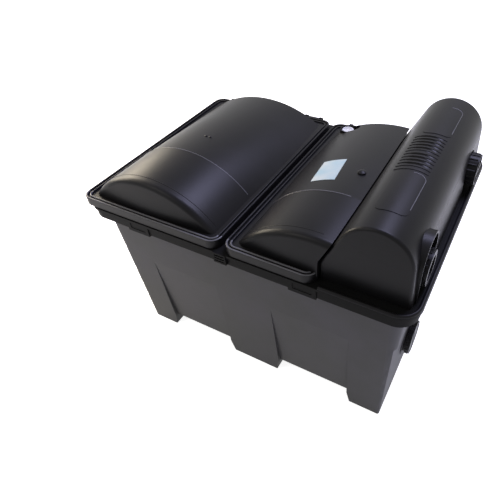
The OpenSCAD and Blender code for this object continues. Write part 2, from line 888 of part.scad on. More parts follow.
module drain_seal() {
    color(seal_black)
        tube_x(drain_face, drain_face + gasket_t, -drain_y, drain_z, drain_cap_r - 4, drain_r + seat_gap);
}

module drain_locknut() {
    color(moulded_black)
        nut_x(drain_back - bulk_nut_t, drain_back, -drain_y, drain_z, 2 * drain_r + 16, drain_r + seat_gap);
}

// Screw cap with a sunk face and a grip bar across it
module drain_cap() {
    x0 = drain_face + gasket_t + drain_flange_t + slide_gap;
    x1 = drain_end + 5;
    bar = 9;
    color(moulded_black) {
        difference() {
            union() {
                rod_x(x0, x1, -drain_y, drain_z, drain_cap_r - 1.5);
                grip_ribs(x0, x1 - 3, -drain_y, drain_z, drain_cap_r - 2.5, 20);
            }
            rod_x(x0 - cut, drain_end + 1, -drain_y, drain_z, drain_r + seat_gap);
            rod_x(drain_end + 4, x1 + cut, -drain_y, drain_z, drain_cap_r - 7);
        }
        span([drain_end + 1, -drain_y - bar / 2, drain_z - drain_cap_r + 5],
            [x1, bar / 2 - drain_y, drain_z + drain_cap_r - 5]);
    }
}

// Hinge pins of one lid
module hinge_pins(x0, x1) {
    reach = knuckle_w / 2 + knuckle_gap + lug_t;
    color(steel) for (x = hinge_places(x0, x1)) rod_x(x - reach, x + reach, hinge_y, hinge_z, pin_r - 0.02);
}

module hinge_pins_left() {
    hinge_pins(left_x0, left_x1);
}

module hinge_pins_right() {
    hinge_pins(right_x0, right_x1);
}

// Half section of a barrel: its radius, its ends, their rounding and their draft
module barrel_section(r, s0, s1, f, a0, a1) {
    c0 = s0 + f * (1 - sin(a0)) / cos(a0);
    c1 = s1 - f * (1 - sin(a1)) / cos(a1);
    polygon([
        [0, s0 - r * tan(a0)], [r - f + f * sin(a0), c0 - f * cos(a0)], [r - f, c0], [r, c0],
        [r, c1], [r - f, c1], [r - f + f * sin(a1), c1 + f * cos(a1)], [0, s1 + r * tan(a1)]
    ]);
    for (c = [c0, c1]) translate([r - f, c]) circle(f);
}

// Barrel along Y through a point, tipped down towards the rear
module barrel(x, y, z, tilt, r, s0, s1, f, a0, a1) {
    translate([x, y, z]) rotate([-90 - tilt, 0, 0]) rotate_extrude($fn = 128)
        barrel_section(r, s0, s1, f, a0, a1);
}

// What lies above a level
module above(z) {
    intersection() {
        children();
        span([-rim_w, -rim_d, z], [rim_w, rim_d, z + rim_w]);
    }
}

// Part of a solid in front of the bend of the vaults, or behind it
module before_bend() {
    intersection() {
        children();
        span([-rim_w, -rim_d, 0], [rim_w, crease_y, hood_top]);
    }
}

module behind_bend() {
    intersection() {
        children();
        span([-rim_w, crease_y - crease_step, 0], [rim_w, rim_d, hood_top]);
    }
}

// Cone that flattens behind the bend while its feet stay apart
module rear_cone(x, inset) {
    ahead = rim_d / 2;
    r = cone_r - inset / cos(dome_flare);
    translate([x, crease_y, flange_z + cone_z]) rotate([-90 - cone_tilt, 0, 0]) rotate_extrude($fn = 128) polygon([
        [0, -ahead], [r - ahead * tan(dome_flare), -ahead],
        [r + rim_d * tan(dome_flare), rim_d], [0, rim_d]
    ]);
}

// Vault of a lid: a level barrel in front of the bend, and a cone behind it with a rounded end
module vault(x, inset, z0) {
    far = 2 * rim_d;
    f = dome_fillet - inset;
    front_in = inset * (1 - sin(end_draft)) / cos(end_draft);
    back_in = inset * (1 - sin(back_draft)) / cos(back_draft);
    before_bend() above(z0)
        barrel(x, crease_y, dome_z, 0, dome_r - inset, vault_front + front_in, far, f, end_draft, 0);
    behind_bend() above(z0) intersection() {
        rear_cone(x, inset);
        barrel(x, crease_y, back_z, dome_tilt, back_r - inset, -far, vault_back - back_in, f, 0, back_draft);
    }
}

// Flange of a lid with its skirt and its double bead
module lid_flange(x0, x1) {
    slab(flange_z - lid_t, flange_z) round_rect(x0, x1, lid_front, lid_back, lid_r);
    slab(lid_low, flange_z) round_ring(x0, x1, lid_front, lid_back, lid_r, lid_t);
    slab(flange_z - skin, flange_z + bead_h) round_ring(x0, x1, lid_front, lid_back, lid_r, bead_w);
    slab(flange_z - skin, flange_z + bead_h - 1)
        round_ring(x0 + bead_step, x1 - bead_step, lid_front + bead_step, lid_back - bead_step,
            lid_r - bead_step, bead_w - 1);
}

// Knuckle and leaf of a lid hinge
module lid_knuckle(x) {
    half = knuckle_w / 2;
    rod_x(x - half, x + half, hinge_y, hinge_z, knuckle_r);
    span([x - half, lid_back - lid_t, flange_z - 8], [x + half, hinge_y, flange_z]);
}

module lid_knuckle_bore(x) {
    rod_x(x - knuckle_w, x + knuckle_w, hinge_y, hinge_z, pin_r + run_gap);
}

// Space on the left of the hood, at a distance from its wall and its leaning flank
module beside_hood(gap) {
    x = hood_x0 - gap;
    plate_y(-rim_d, rim_d) polygon([
        [-rim_w, 0], [x, 0], [x, lean_z(x, gap)], [lean_x(hood_top, gap), hood_top], [-rim_w, hood_top]
    ]);
}

// Lid shell between two places on X, with its vault centred on the third
module lid_shell(x0, x1, mid) {
    difference() {
        union() {
            lid_flange(x0, x1);
            intersection() {
                vault(mid, 0, flange_z - lid_t);
                beside_hood(hood_gap);
            }
            for (x = hinge_places(x0, x1)) lid_knuckle(x);
        }
        intersection() {
            vault(mid, lid_t, lid_low - cut);
            beside_hood(hood_gap + lid_t);
        }
        for (x = hinge_places(x0, x1)) lid_knuckle_bore(x);
    }
}

// Low round button that stands on the ridge of a vault
module button(x, y, r, h) {
    depth = lid_t - 1;
    cap_r = (pow(r, 2) + pow(h / 2, 2)) / h;
    translate([x, y, ridge_z(y) - depth]) rotate_extrude($fn = 64) {
        square([r, depth + h / 2]);
        intersection() {
            translate([0, depth + h - cap_r]) circle(cap_r);
            translate([0, depth]) square([r, h]);
        }
    }
}

module lid_left() {
    color(moulded_black) {
        lid_shell(left_x0, left_x1, left_mid);
        for (s = [-1, 1]) button(left_mid + pip_side + s * pip_half, pip_y, pip_r, pip_h);
    }
}

// Flat shape of the indicator's recess
module indicator_shape(r) {
    for (x = [indicator_x, indicator_x + indicator_long]) translate([x, indicator_y]) circle(r);
    translate([indicator_x, indicator_y - r]) square([indicator_long, 2 * r]);
}

module lid_right() {
    cup_r = indicator_r + 2 + lid_t;
    cup_h = 7;
    color(moulded_black) difference() {
        union() {
            lid_shell(right_x0, right_x1, right_mid);
            button(right_mid + button_side, button_y, button_r, button_h);
            slab(flange_z - lid_t, indicator_z + cup_h) indicator_shape(cup_r);
        }
        slab(indicator_z, hood_top) indicator_shape(indicator_r + 2);
    }
}

module indicator_dial() {
    color(indicator_white) translate([indicator_x, indicator_y, indicator_z])
        cylinder(h = 4, r = indicator_r);
}

module indicator_lens() {
    color("#e8eef2", 0.4) translate([indicator_x, indicator_y, indicator_z + 4])
        cylinder(h = 1.5, r = indicator_r - 1);
}

// Rubber seal under the flange of a lid
module lid_seal(x0, x1) {
    color(seal_black) slab(band_top + seat_gap, flange_z - lid_t)
        round_ring(x0, x1, seal_front, lid_back - lid_t - seal_in, lid_r - lid_t - seal_in, seal_w);
}

module lid_seal_left() {
    lid_seal(left_x0 + seal_side, left_x1 - lid_t - seal_in);
}

module lid_seal_right() {
    lid_seal(right_x0 + lid_t + seal_in, right_x1 - lid_t);
}

// Sprung catch: a push button in the band with an arm up through the frame
module latch(x, arm_x) {
    half = latch_w / 2;
    face = -skirt_y - 1;
    color(moulded_black) {
        span([x - half, face, latch_z0], [x + half, face + latch_t, latch_z1]);
        span([arm_x - arm_w / 2, arm_y, latch_z1 - 10], [arm_x + arm_w / 2, arm_y + arm_t, flange_z - lid_t - 2]);
    }
}

module latch_left() {
    latch(latch_left_x, arm_left_x);
}

module latch_right() {
    latch(latch_right_x, arm_right_x);
}

// Plan of one flank of the hood, from the crown's axis out to its face
module flank_plan(r, half, f) {
    translate([0, -half]) square([r - f, 2 * half]);
    translate([0, f - half]) square([r, 2 * (half - f)]);
    for (s = [-1, 1]) translate([r - f, s * (half - f)]) circle(f);
}

// Solid of the hood: a round crown that runs out into two leaning flanks
module hood_form(inset) {
    r = crown_r - inset;
    half = hood_y - inset;
    f = hood_fillet - inset;
    low = hood_base - (inset > 0 ? cut : 0);
    drop = hood_h;
    lap = 3;
    ease = 0.05;
    intersection() {
        translate([crown_x, 0, crown_z]) {
            rotate([0, -right_lean, 0]) slab(-drop, lap) flank_plan(r + ease, half + ease, f);
            rotate([0, 0, 180]) rotate([0, -left_lean, 0]) {
                slab(-drop, lap) flank_plan(r + ease, half + ease, f);
                rotate([90, 0, 0])
                    rotate_extrude(angle = 180 - left_lean - right_lean, $fn = 128) flank_plan(r, half, f);
            }
            plate_y(-half, half) polygon([
                [0, crown_r / 8], [crown_r / 2, -drop], [-drop * tan(left_lean) - crown_r / 8, -drop]
            ]);
        }
        span([hood_x0 + inset, -rim_d, low], [rim_w, rim_d, hood_top + cut]);
    }
}

// Band over the top of the hood, from one place on Y to the next
module hood_band(y0, y1, arc, turn = 0) {
    translate([crown_x, y1, crown_z]) rotate([90, 0, 0]) rotate([0, 0, 90 - arc + turn])
        rotate_extrude(angle = 2 * arc, $fn = 128)
            translate([crown_r - hood_t / 2, 0]) square([hood_t / 2 + relief_h, y1 - y0]);
}

// Raised panel with round corners on the crown
module hood_panel(y0, y1) {
    half = crown_r * sin(panel_arc);
    intersection() {
        hood_band(y0 - cut, y1 + cut, panel_arc + 10);
        slab(crown_z, hood_top + 2 * relief_h)
            round_rect(crown_x - half, crown_x + half, y0, y1, panel_r);
    }
}

// Arch over an inlet, open at the bottom so that the hood lifts clear of the hose
module porch_form(y, z, r, x0, x1, z0) {
    rod_x(x0, x1, y, z, r);
    span([x0, y - r, z0], [x1, y + r, z]);
}

module hood() {
    rib_span = (rib_count - 1) * rib_pitch;
    panel_near = rib_span / 2 + 10;
    panel_far = hood_y - panel_end;
    color(moulded_black) difference() {
        union() {
            difference() {
                union() {
                    hood_form(0);
                    porch_form(front_inlet, porch_z, porch_r, crown_x, porch_x, hood_base);
                }
                hood_form(hood_t);
            }
            for (i = [0 : rib_count - 1]) {
                y = i * rib_pitch - rib_span / 2;
                hood_band(y - rib_w / 2, y + rib_w / 2, rib_arc, rib_turn);
            }
            hood_panel(-panel_far, -panel_near);
            hood_panel(panel_near, panel_far);
        }
        porch_form(front_inlet, porch_z, porch_r - porch_t, inlet_nut_x0 - 2, porch_x + cut, hood_base - cut);
        porch_form(rear_inlet, inlet_z, inlet_nut_r + 4, inlet_nut_x0 - 2, porch_x + cut, hood_base - cut);
    }
}

tank_tub();
top_frame();
partition_mid();
partition_inlet();
foam_grid_left();
foam_grid_right();
foam_left(0);  // foam_left_1
foam_left(1);  // foam_left_2
foam_left(2);  // foam_left_3
foam_left(3);  // foam_left_4
foam_right(0);  // foam_right_1
foam_right(1);  // foam_right_2
foam_right(2);  // foam_right_3
bow_screen();
inlet_trough();
trough_weir();
trough_port_wall();
trough_end_front();
trough_end_rear();
inlet_spigot(front_inlet);  // inlet_spigot_front
inlet_gasket(front_inlet);  // inlet_gasket_front
inlet_locknut(front_inlet);  // inlet_locknut_front
inlet_union_nut();
inlet_spigot(rear_inlet);  // inlet_spigot_rear
inlet_gasket(rear_inlet);  // inlet_gasket_rear
inlet_locknut(rear_inlet);  // inlet_locknut_rear
inlet_blank_cap();
outlet_socket();
outlet_seal();
outlet_locknut();
drain_spigot();
drain_seal();
drain_locknut();
drain_cap();
hinge_pins_left();
hinge_pins_right();
lid_left();
lid_seal_left();
latch_left();
lid_right();
lid_seal_right();
latch_right();
indicator_dial();
indicator_lens();
hood();
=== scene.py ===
"""Looks of a flow-through pond filter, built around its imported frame, in metres."""
import json
import math

import bmesh
import bpy
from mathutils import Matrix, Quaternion, Vector, noise
from mathutils.bvhtree import BVHTree


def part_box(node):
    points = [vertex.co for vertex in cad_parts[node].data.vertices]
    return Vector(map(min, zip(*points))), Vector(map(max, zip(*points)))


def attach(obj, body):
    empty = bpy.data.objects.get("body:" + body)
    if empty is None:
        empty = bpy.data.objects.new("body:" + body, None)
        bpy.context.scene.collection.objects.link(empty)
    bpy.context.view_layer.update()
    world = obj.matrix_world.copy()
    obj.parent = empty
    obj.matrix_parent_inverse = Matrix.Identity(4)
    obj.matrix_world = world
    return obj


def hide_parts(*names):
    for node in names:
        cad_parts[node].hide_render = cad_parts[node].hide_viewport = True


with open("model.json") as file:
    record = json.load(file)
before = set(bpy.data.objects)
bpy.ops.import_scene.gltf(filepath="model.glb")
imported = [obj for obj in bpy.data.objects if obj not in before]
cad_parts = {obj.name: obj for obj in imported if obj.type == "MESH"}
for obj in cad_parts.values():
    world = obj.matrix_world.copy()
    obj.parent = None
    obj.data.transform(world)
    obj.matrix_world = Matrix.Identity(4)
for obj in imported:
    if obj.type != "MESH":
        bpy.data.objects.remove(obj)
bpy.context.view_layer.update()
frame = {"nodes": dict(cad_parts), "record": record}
nodes = frame["nodes"]
MM = 0.001

# Camera as fitted to the photograph: place in mm, angles in degrees, focal length and centre in pixels
IMAGE = 500
SENSOR = 36.0
CAMERA_AT = (451.5, -788.1, 1054.9)
CAMERA_YAW = 29.88
CAMERA_PITCH = 42.33
CAMERA_ROLL = -2.72
CAMERA_FOCAL = 459.2
CAMERA_CENTRE = (45.0, -8.5)


def linear(code):
    """Linear colour of an sRGB hex value."""
    parts = [int(code[i:i + 2], 16) / 255 for i in (1, 3, 5)]
    return [c / 12.92 if c <= 0.04045 else ((c + 0.055) / 1.055) ** 2.4 for c in parts] + [1.0]


def add(tree, kind, at=None, **settings):
    """New node of a kind: `at` sets or links its inputs, by name or number; the rest are settings."""
    made = tree.nodes.new(kind)
    for name, value in settings.items():
        setattr(made, name, value)
    for key, value in (at or {}).items():
        socket = made.inputs[key]
        if isinstance(value, bpy.types.NodeSocket):
            tree.links.new(value, socket)
        else:
            socket.default_value = value
    return made


def per_metre(size_mm):
    """Scale of a noise whose features are about this size."""
    return 1.0 / (size_mm * MM)


def new_material(name):
    """Empty node material and its tree."""
    material = bpy.data.materials.new(name)
    material.use_nodes = True
    material.node_tree.nodes.clear()
    return material, material.node_tree


def moulded_plastic(name, dark, light, rough, grain_mm, grain_depth, gloss, patch_mm=140.0):
    """Injection-moulded plastic: an eroded grain, a broad soft sheen and faint flow patches.

    The real grain is a few tenths of a millimetre, so it is drawn coarser to show.
    """
    material, tree = new_material(name)
    place = add(tree, "ShaderNodeTexCoord").outputs["Object"]
    patches = add(tree, "ShaderNodeTexNoise",
                  {"Vector": place, "Scale": per_metre(patch_mm), "Detail": 4.0, "Roughness": 0.55})
    colour = add(tree, "ShaderNodeValToRGB", {"Fac": patches.outputs["Fac"]})
    colour.color_ramp.elements[0].position = 0.3
    colour.color_ramp.elements[0].color = linear(dark)
    colour.color_ramp.elements[1].position = 0.72
    colour.color_ramp.elements[1].color = linear(light)
    grain = add(tree, "ShaderNodeTexNoise",
                {"Vector": place, "Scale": per_metre(grain_mm), "Detail": 3.0, "Roughness": 0.6})
    sheen = add(tree, "ShaderNodeMapRange",
                {"Value": patches.outputs["Fac"], "To Min": rough - 0.05, "To Max": rough + 0.07})
    bump = add(tree, "ShaderNodeBump",
               {"Height": grain.outputs["Fac"], "Distance": grain_depth * MM, "Strength": 0.6})
    shader = add(tree, "ShaderNodeBsdfPrincipled",
                 {"Base Color": colour.outputs["Color"], "Roughness": sheen.outputs["Result"],
                  "Normal": bump.outputs["Normal"], "IOR": 1.49, "Specular IOR Level": gloss})
    add(tree, "ShaderNodeOutputMaterial", {"Surface": shader.outputs["BSDF"]})
    return material


def open_foam(name, dark, light):
    """Reticulated polyurethane foam: matt open cells, with painted shade darker down in the cells.

    The real cells are about 2 mm, so they are drawn coarser to show.
    """
    cell_mm = 4.0
    patch_mm = 60.0
    cell_depth = 1.5
    material, tree = new_material(name)
    place = add(tree, "ShaderNodeTexCoord").outputs["Object"]
    cells = add(tree, "ShaderNodeTexVoronoi", {"Vector": place, "Scale": per_metre(cell_mm)})
    patches = add(tree, "ShaderNodeTexNoise",
                  {"Vector": place, "Scale": per_metre(patch_mm), "Detail": 3.0})
    # Painted shade: the colour darkens towards the hollow middle of each cell, broken up by random
    # patches
    depth = add(tree, "ShaderNodeMath", {0: cells.outputs["Distance"], 1: 0.35}, operation="ADD")
    share = add(tree, "ShaderNodeMath",
                {0: depth.outputs[0], 1: patches.outputs["Fac"]}, operation="MULTIPLY")
    colour = add(tree, "ShaderNodeValToRGB", {"Fac": share.outputs[0]})
    colour.color_ramp.elements[0].position = 0.18
    colour.color_ramp.elements[0].color = linear(dark)
    colour.color_ramp.elements[1].position = 0.62
    colour.color_ramp.elements[1].color = linear(light)
    bump = add(tree, "ShaderNodeBump",
               {"Height": cells.outputs["Distance"], "Distance": cell_depth * MM, "Strength": 0.8})
    shader = add(tree, "ShaderNodeBsdfPrincipled",
                 {"Base Color": colour.outputs["Color"], "Normal": bump.outputs["Normal"],
                  "Roughness": 0.95, "Specular IOR Level": 0.1})
    add(tree, "ShaderNodeOutputMaterial", {"Surface": shader.outputs["BSDF"]})
    return material


def rolled_steel(name, dark, light, stroke_mm):
    """Stainless steel with rolling marks along Y, drawn coarser than real ones to show."""
    mark_depth = 0.05
    material, tree = new_material(name)
    place = add(tree, "ShaderNodeTexCoord").outputs["Object"]
    along = add(tree, "ShaderNodeMapping", {"Vector": place, "Scale": (1.0, 0.04, 1.0)})
    marks = add(tree, "ShaderNodeTexNoise",
                {"Vector": along.outputs["Vector"], "Scale": per_metre(stroke_mm), "Detail": 3.0})
    colour = add(tree, "ShaderNodeValToRGB", {"Fac": marks.outputs["Fac"]})
    colour.color_ramp.elements[0].color = linear(dark)
    colour.color_ramp.elements[1].color = linear(light)
    sheen = add(tree, "ShaderNodeMapRange",
                {"Value": marks.outputs["Fac"], "To Min": 0.24, "To Max": 0.42})
    bump = add(tree, "ShaderNodeBump",
               {"Height": marks.outputs["Fac"], "Distance": mark_depth * MM, "Strength": 0.5})
    shader = add(tree, "ShaderNodeBsdfPrincipled",
                 {"Base Color": colour.outputs["Color"], "Roughness": sheen.outputs["Result"],
                  "Normal": bump.outputs["Normal"], "Metallic": 1.0})
    add(tree, "ShaderNodeOutputMaterial", {"Surface": shader.outputs["BSDF"]})
    return material


def clear_acrylic(name):
    """Clear acrylic lens with a faint ripple."""
    ripple_mm = 9.0
    ripple_depth = 0.05
    material, tree = new_material(name)
    place = add(tree, "ShaderNodeTexCoord").outputs["Object"]
    ripple = add(tree, "ShaderNodeTexNoise",
                 {"Vector": place, "Scale": per_metre(ripple_mm), "Detail": 2.0})
    bump = add(tree, "ShaderNodeBump",
               {"Height": ripple.outputs["Fac"], "Distance": ripple_depth * MM, "Strength": 0.4})
    shader = add(tree, "ShaderNodeBsdfPrincipled",
                 {"Base Color": linear("#f4f6f6"), "Roughness": 0.04, "IOR": 1.49,
                  "Alpha": 0.3, "Normal": bump.outputs["Normal"]})
    add(tree, "ShaderNodeOutputMaterial", {"Surface": shader.outputs["BSDF"]})
    return material


# Polyethylene leaves the mould with a coarse eroded grain: a soft grey wall with cloudy patches
TUB_GREY = moulded_plastic("moulded_grey_polyethylene", "#3f3f40", "#4b4a4e",
                           rough=0.6, grain_mm=2.2, grain_depth=0.12, gloss=0.2)
# Textured ABS: nearly black seen straight on, with a broad violet-grey sheen where it turns away
LID_BLACK = moulded_plastic("moulded_black_abs", "#0f0f10", "#161517",
                            rough=0.37, grain_mm=1.6, grain_depth=0.05, gloss=0.12)
# The same ABS painted paler and made smoother along ridges and rims: a painted highlight where they
# catch the light
PAINTED_HIGHLIGHT_ABS = moulded_plastic("black_abs_painted_highlight", "#4a4a4e", "#5c5b63",
                            rough=0.36, grain_mm=1.6, grain_depth=0.03, gloss=0.35, patch_mm=60.0)
# The frame and the latches have a coarser grain: duller and blacker than the lids
FRAME_BLACK = moulded_plastic("moulded_dull_black_abs", "#111111", "#181818",
                              rough=0.5, grain_mm=2.0, grain_depth=0.1, gloss=0.04)
# Polypropylene inside the tub: dull dark grey
INNER_GREY = moulded_plastic("moulded_dark_polypropylene", "#3c3d40", "#484a4c",
                             rough=0.5, grain_mm=1.8, grain_depth=0.1, gloss=0.3)
# Moulded EPDM: matt black that swallows light
SEAL_RUBBER = moulded_plastic("moulded_epdm_rubber", "#151515", "#1d1d1d",
                              rough=0.7, grain_mm=2.2, grain_depth=0.1, gloss=0.2, patch_mm=40.0)
# Gloss ABS dial: clean white with a crisp highlight
DIAL_WHITE = moulded_plastic("moulded_white_abs", "#cfcfcc", "#dededb",
                             rough=0.3, grain_mm=1.2, grain_depth=0.03, gloss=0.5, patch_mm=30.0)
# Vinyl plate: pale, cool and faintly cloudy
PLATE_PALE = moulded_plastic("satin_pale_vinyl", "#8ea5a9", "#b6b5aa",
                             rough=0.5, grain_mm=1.0, grain_depth=0.02, gloss=0.3, patch_mm=70.0)
# Reticulated foams: painted shade deep in the open cells, under paler struts
FOAM_BLUE = open_foam("reticulated_blue_foam", "#15293f", "#3c6ea6")
FOAM_RED = open_foam("reticulated_red_foam", "#3d1512", "#a8463a")
# Rolled stainless steel: bright, drawn out along the rolling marks
SCREEN_STEEL = rolled_steel("rolled_stainless_steel", "#8f9295", "#c6c8ca", 1.2)
# Acrylic lens: clear with a faint ripple
LENS_CLEAR = clear_acrylic("clear_moulded_acrylic")

FINISH_OF_SLOT = {
    "tub_grey": TUB_GREY,
    "moulded_black": LID_BLACK,
    "inner_grey": INNER_GREY,
    "seal_rubber": SEAL_RUBBER,
    "indicator_white": DIAL_WHITE,
    "foam_blue": FOAM_BLUE,
    "foam_red": FOAM_RED,
    "steel": SCREEN_STEEL,
    "clear_lens": LENS_CLEAR,
}
DULL_NODES = ("top_frame", "latch_left", "latch_right")
for part in frame["record"]["subparts"]:
    carried = nodes[part["node"]]
    carried.data.materials.clear()
    dull = part["node"] in DULL_NODES
    carried.data.materials.append(FRAME_BLACK if dull else FINISH_OF_SLOT[part["material_slot"]])


def closed_into(mesh, data):
    """Move a bmesh into mesh data, with its faces pointing outwards."""
    bmesh.ops.recalc_face_normals(mesh, faces=mesh.faces)
    mesh.to_mesh(data)
    mesh.free()


def settle(piece, body, smooth):
    """Shade a made piece, and set it on its body."""
    for face in piece.data.polygons:
        face.use_smooth = smooth
    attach(piece, body)


def finished(name, mesh, material, body, smooth=True):
    """New piece at the origin from a bmesh, with its finish, riding on its body."""
    data = bpy.data.meshes.new(name)
    closed_into(mesh, data)
    data.materials.append(material)
    piece = bpy.data.objects.new(name, data)
    bpy.context.scene.collection.objects.link(piece)
    settle(piece, body, smooth)
    return piece


def skin_of(node):
    """Search tree of a CAD node's mesh, to set a piece on its surface."""
    mesh = nodes[node].data
    return BVHTree.FromPolygons([v.co for v in mesh.vertices], [p.vertices for p in mesh.polygons])


def top_of(skin, x, y):
    """Point and normal where a plumb line from above meets the skin."""
    above = 1.0
    place, normal, _, _ = skin.ray_cast(Vector((x, y, above)), Vector((0, 0, -1)))
    return place, normal


def foam_block(node, body, material):
    """Foam block with soft sawn edges and a slightly uneven cut, in its solid's place."""
    low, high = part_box(node)
    edge = 5 * MM
    uneven = 1.2 * MM
    cell = 11 * MM
    saw_wave_mm = 26.0
    tear_mm = 9.0
    mesh = bmesh.new()
    bmesh.ops.create_cube(mesh, size=1.0)
    size = high - low
    for v in mesh.verts:
        v.co = Vector(((low[i] + high[i]) / 2 + v.co[i] * (size[i] - 2 * uneven) for i in range(3)))
    bmesh.ops.bevel(mesh, geom=list(mesh.edges), offset=edge, segments=3, affect="EDGES", profile=0.5)
    for axis in range(3):
        normal = Vector((0, 0, 0))
        normal[axis] = 1.0
        steps = int(size[axis] / cell)
        for k in range(1, steps):
            at = Vector(low)
            at[axis] = low[axis] + size[axis] * k / steps
            geom = list(mesh.verts) + list(mesh.edges) + list(mesh.faces)
            bmesh.ops.bisect_plane(mesh, geom=geom, plane_co=at, plane_no=normal, dist=1e-6)
    for v in mesh.verts:
        saw_wave = noise.noise_vector(v.co * per_metre(saw_wave_mm)) * 0.6
        tear = noise.noise_vector(v.co * per_metre(tear_mm)) * 0.4
        v.co += (saw_wave + tear) * uneven * 0.8
    piece = finished("soft_" + node, mesh, material, body)
    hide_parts(node)


# One seed for the uneven cut, so that each run saws the same blocks
FOAM_SEED = 11
noise.seed_set(FOAM_SEED)
for node in sorted(nodes):
    if node.startswith("foam_left"):
        foam_block(node, "tank", FOAM_BLUE)
    elif node.startswith("foam_right"):
        foam_block(node, "tank", FOAM_RED)


def border(rows):
    """Points round the edge of a grid of points, in order."""
    sides = rows[0] + [row[-1] for row in rows[1:]]
    return sides + rows[-1][-2::-1] + [row[0] for row in rows[-2:0:-1]]


def bare_plate():
    """Plain vinyl plate pressed on the right vault."""
    centre = Vector((107.0, -26.0)) * MM
    width, length, turn = 52 * MM, 98 * MM, math.radians(8)
    across, along = 12, 24
    stand, sunk = 0.5 * MM, 0.4 * MM
    skin = skin_of("lid_right")
    mesh = bmesh.new()
    layers = []
    for lift in (stand, -sunk):
        rows = []
        for j in range(along + 1):
            row = []
            for i in range(across + 1):
                u = (i / across - 0.5) * width
                v = (j / along - 0.5) * length
                x = centre.x + u * math.cos(turn) - v * math.sin(turn)
                y = centre.y + u * math.sin(turn) + v * math.cos(turn)
                place, normal = top_of(skin, x, y)
                row.append(mesh.verts.new(place + normal * lift))
            rows.append(row)
        layers.append(rows)
    for rows in layers:
        for j in range(along):
            for i in range(across):
                mesh.faces.new((rows[j][i], rows[j][i + 1], rows[j + 1][i + 1], rows[j + 1][i]))
    rim_top, rim_low = (border(rows) for rows in layers)
    for k in range(len(rim_top)):
        n = (k + 1) % len(rim_top)
        mesh.faces.new((rim_top[k], rim_top[n], rim_low[n], rim_low[k]))
    finished("bare_plate", mesh, PLATE_PALE, "lid_right", smooth=False)


bare_plate()


def open_tree(name, inputs):
    """New growing tree, and the sockets of its named inputs."""
    tree = bpy.data.node_groups.new(name, "GeometryNodeTree")
    for label, kind in inputs.items():
        tree.interface.new_socket(label, in_out="INPUT", socket_type="NodeSocket" + kind)
    tree.interface.new_socket("Geometry", in_out="OUTPUT", socket_type="NodeSocketGeometry")
    return tree, add(tree, "NodeGroupInput").outputs


def close_tree(tree, grown_shape, finish):
    """End of a growing tree: instances made real, and the finish set."""
    solid = add(tree, "GeometryNodeRealizeInstances", {"Geometry": grown_shape})
    dressed = add(tree, "GeometryNodeSetMaterial",
                  {"Geometry": solid.outputs["Geometry"], "Material": finish})
    add(tree, "NodeGroupOutput", {"Geometry": dressed.outputs["Geometry"]})


def wire_tree():
    """Node tree that sets wedge-shaped wires side by side along an arc, level and along Y."""
    tree, sizes = open_tree("wedge_wires", {
        "Count": "Int", "Arc Radius": "Float", "Arc Start": "Float", "Arc Sweep": "Float",
        "Arc Centre": "Vector", "Wire Radius": "Float", "Wire Length": "Float", "Finish": "Material",
    })
    arc = add(tree, "GeometryNodeCurveArc",
              {"Resolution": sizes["Count"], "Radius": sizes["Arc Radius"],
               "Start Angle": sizes["Arc Start"], "Sweep Angle": sizes["Arc Sweep"]})
    places = add(tree, "GeometryNodeCurveToPoints", {"Curve": arc.outputs["Curve"]}, mode="EVALUATED")
    gaps = add(tree, "ShaderNodeMath", {0: sizes["Count"], 1: 1.0}, operation="SUBTRACT")
    step = add(tree, "ShaderNodeMath", {0: sizes["Arc Sweep"], 1: gaps.outputs[0]}, operation="DIVIDE")
    angle = add(tree, "ShaderNodeMath",
                {0: add(tree, "GeometryNodeInputIndex").outputs["Index"], 1: step.outputs[0],
                 2: sizes["Arc Start"]}, operation="MULTIPLY_ADD")
    turn = add(tree, "FunctionNodeAxisAngleToRotation",
               {"Axis": (0.0, 0.0, 1.0), "Angle": angle.outputs[0]})
    wire = add(tree, "GeometryNodeMeshCylinder",
               {"Vertices": 3, "Radius": sizes["Wire Radius"], "Depth": sizes["Wire Length"]})
    wires = add(tree, "GeometryNodeInstanceOnPoints",
                {"Points": places.outputs["Points"], "Instance": wire.outputs["Mesh"],
                 "Rotation": turn.outputs["Rotation"]})
    stood = add(tree, "GeometryNodeTransform",
                {"Geometry": wires.outputs["Instances"], "Translation": sizes["Arc Centre"],
                 "Rotation": (math.pi / 2, 0.0, 0.0)})
    close_tree(tree, stood.outputs["Geometry"], sizes["Finish"])
    return tree


def bead_tree():
    """Node tree that runs a round bead along the edges of a mesh."""
    tree, sizes = open_tree("round_bead", {
        "Path": "Geometry", "Bead Radius": "Float", "Bead Sides": "Int", "Finish": "Material",
    })
    path = add(tree, "GeometryNodeMeshToCurve", {"Mesh": sizes["Path"]})
    ring = add(tree, "GeometryNodeCurvePrimitiveCircle",
               {"Resolution": sizes["Bead Sides"], "Radius": sizes["Bead Radius"]})
    tube = add(tree, "GeometryNodeCurveToMesh",
               {"Curve": path.outputs["Curve"], "Profile Curve": ring.outputs["Curve"],
                "Fill Caps": True})
    close_tree(tree, tube.outputs["Mesh"], sizes["Finish"])
    return tree


def path_mesh(name, paths):
    """Mesh of bare edges along each open path of points."""
    points, edges = [], []
    for path in paths:
        edges += [(len(points) + k, len(points) + k + 1) for k in range(len(path) - 1)]
        points += path
    data = bpy.data.meshes.new(name)
    data.from_pydata(points, edges, [])
    return data


def grown(name, tree, sizes, body, paths=(), smooth=False):
    """Piece that a node tree grows from its named sizes, as a plain mesh that rides on a body."""
    piece = bpy.data.objects.new(name, path_mesh(name + "_seed", paths))
    bpy.context.scene.collection.objects.link(piece)
    modifier = piece.modifiers.new("grow", "NODES")
    modifier.node_group = tree
    for socket in tree.interface.items_tree:
        if socket.name in sizes:
            modifier[socket.identifier] = sizes[socket.name]
    shaped = piece.evaluated_get(bpy.context.evaluated_depsgraph_get())
    data = bpy.data.meshes.new_from_object(shaped)
    data.name = name
    piece.modifiers.clear()
    piece.data = data
    mesh = bmesh.new()
    mesh.from_mesh(data)
    closed_into(mesh, data)
    settle(piece, body, smooth)


